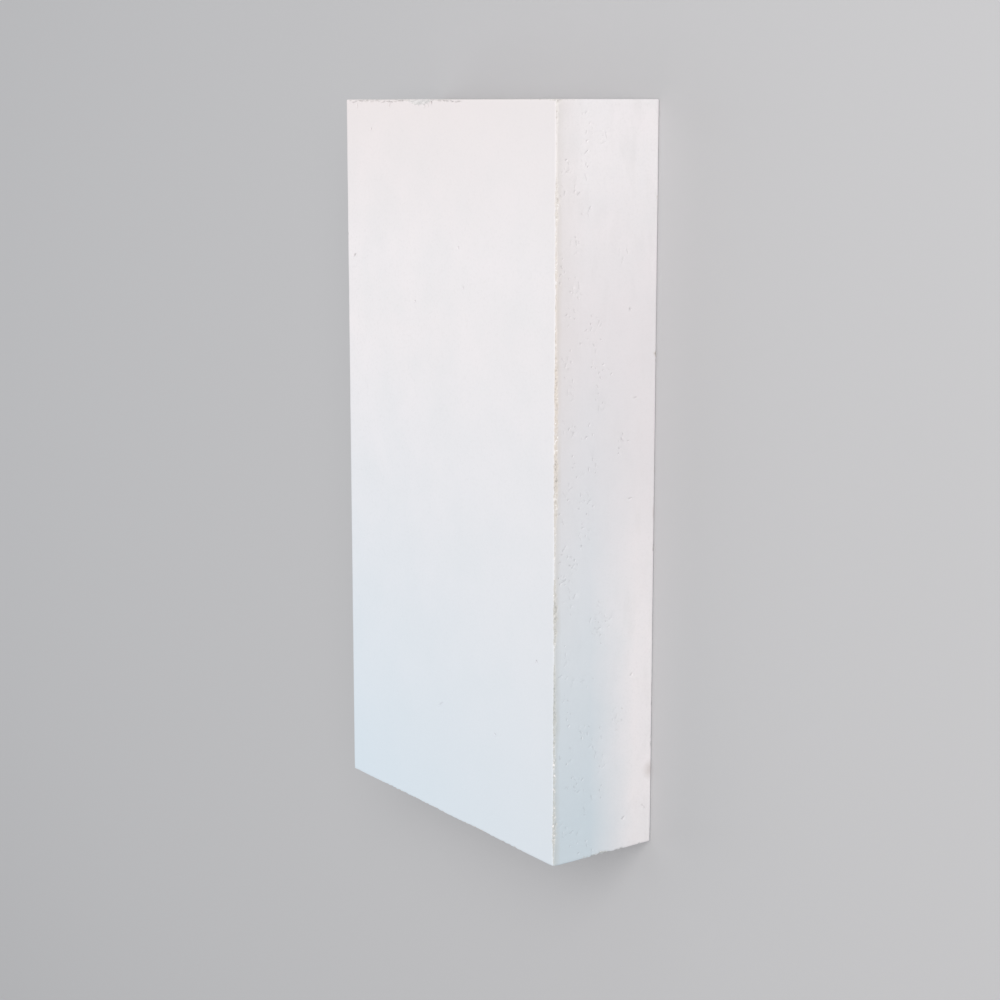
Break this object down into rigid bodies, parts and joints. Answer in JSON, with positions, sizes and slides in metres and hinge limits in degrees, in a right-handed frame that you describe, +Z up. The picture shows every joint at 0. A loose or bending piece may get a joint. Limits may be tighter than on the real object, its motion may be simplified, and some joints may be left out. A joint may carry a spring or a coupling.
{
  "type": "ceramic fibre board",
  "caption": "White rectangular slab of rigid ceramic fibre with sawn edges and a small chip in one arris; high-temperature insulation that lies flat.",
  "frame": {"origin": "middle of the lower large face, on the surface that the board lies on", "axes": "+X along the 600 mm length towards the chipped end, +Y across the 300 mm width, +Z up through the 100 mm thickness"},
  "size_m": [0.6, 0.3, 0.1],
  "materials": {
    "ceramic_fibre": "matte felted white fibre, smooth on the two formed faces, pitted and fuzzy on the sawn edges"
  },
  "bodies": {
    "root": {"fibre_board": "ceramic_fibre"}
  },
  "joints": []
}
